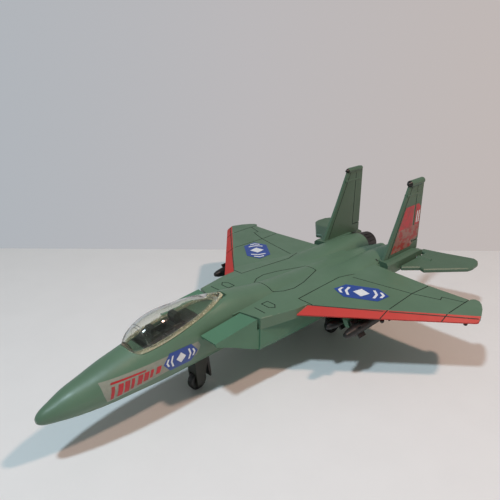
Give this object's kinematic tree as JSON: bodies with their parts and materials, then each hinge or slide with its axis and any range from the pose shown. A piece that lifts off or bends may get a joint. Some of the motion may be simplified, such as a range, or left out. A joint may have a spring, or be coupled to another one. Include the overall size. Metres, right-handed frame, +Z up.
{
  "type": "toy airplane",
  "caption": "Die-cast toy jet with twin fins, swept wings, clear canopy, folding landing gear, rolling wheels and underwing missiles.",
  "frame": {"origin": "on the ground under the middle of the bounding box, wheels on z = 0", "axes": "+Z up, +Y from nose to tail, +X towards the left wing tip as the pilot sees it"},
  "size_m": [0.1364, 0.193, 0.063],
  "materials": {
    "green_metal": "matt",
    "green_plastic": "matt",
    "fin_plastic": "matt",
    "dark_plastic": "matt",
    "leg_plastic": "matt",
    "black_plastic": "matt",
    "nozzle_plastic": "matt",
    "clear_plastic": "gloss",
    "steel": "satin"
  },
  "bodies": {
    "airframe": {"upper_body": "green_metal", "lower_body": "green_plastic", "cockpit_tub": "dark_plastic", "seat": "dark_plastic", "instrument_panel": "dark_plastic", "canopy_pin": "steel", "screws": "steel", "nose_pivot_pin": "steel", "main_pivot_pin_left": "steel", "main_pivot_pin_right": "steel", "nozzle_left": "nozzle_plastic", "nozzle_right": "nozzle_plastic", "stabilator_shaft_left": "steel", "stabilator_shaft_right": "steel", "pylon_left": "green_plastic", "pylon_right": "green_plastic", "missile_inner_left": "black_plastic", "missile_inner_right": "black_plastic", "missile_outer_left": "black_plastic", "missile_outer_right": "black_plastic", "fin_left": "fin_plastic", "fin_right": "fin_plastic", "pod_tip_left": "black_plastic", "pod_tip_right": "black_plastic"},
    "canopy": {"canopy": "clear_plastic"},
    "nose_gear": {"nose_leg": "leg_plastic", "nose_door": "leg_plastic", "nose_axle": "steel"},
    "nose_wheel": {"nose_wheel": "black_plastic"},
    "main_gear_left": {"main_leg_left": "leg_plastic", "main_axle_left": "steel"},
    "main_wheel_left": {"main_wheel_left": "black_plastic"},
    "stabilator_left": {"stabilator_left": "fin_plastic"},
    "main_gear_right": {"main_leg_right": "leg_plastic", "main_axle_right": "steel"},
    "main_wheel_right": {"main_wheel_right": "black_plastic"},
    "stabilator_right": {"stabilator_right": "fin_plastic"}
  },
  "joints": [
    {"name": "canopy_open", "type": "hinge", "parent": "airframe", "child": "canopy", "pos_m": [0, -0.02669, 0.03345], "axis": [-1, 0, 0], "range_deg": [0, 45]},
    {"name": "nose_gear_fold", "type": "hinge", "parent": "airframe", "child": "nose_gear", "pos_m": [0, -0.0383, 0.0182], "axis": [-1, 0, 0], "range_deg": [0, 90]},
    {"name": "nose_wheel_spin", "type": "hinge", "parent": "nose_gear", "child": "nose_wheel", "pos_m": [0, -0.0377, 0.0037], "axis": [1, 0, 0], "continuous": true},
    {"name": "main_gear_fold_left", "type": "hinge", "parent": "airframe", "child": "main_gear_left", "pos_m": [0.0098, 0.0304, 0.0204], "axis": [-1, 0, 0], "range_deg": [0, 90]},
    {"name": "main_wheel_spin_left", "type": "hinge", "parent": "main_gear_left", "child": "main_wheel_left", "pos_m": [0.0098, 0.031, 0.0044], "axis": [1, 0, 0], "continuous": true},
    {"name": "stabilator_tilt_left", "type": "hinge", "parent": "airframe", "child": "stabilator_left", "pos_m": [0.0214, 0.0795, 0.025], "axis": [1, 0, 0], "range_deg": [-12, 12]},
    {"name": "main_gear_fold_right", "type": "hinge", "parent": "airframe", "child": "main_gear_right", "pos_m": [-0.0098, 0.0304, 0.0204], "axis": [-1, 0, 0], "range_deg": [0, 90]},
    {"name": "main_wheel_spin_right", "type": "hinge", "parent": "main_gear_right", "child": "main_wheel_right", "pos_m": [-0.0098, 0.031, 0.0044], "axis": [1, 0, 0], "continuous": true},
    {"name": "stabilator_tilt_right", "type": "hinge", "parent": "airframe", "child": "stabilator_right", "pos_m": [-0.0214, 0.0795, 0.025], "axis": [1, 0, 0], "range_deg": [-12, 12]}
  ]
}
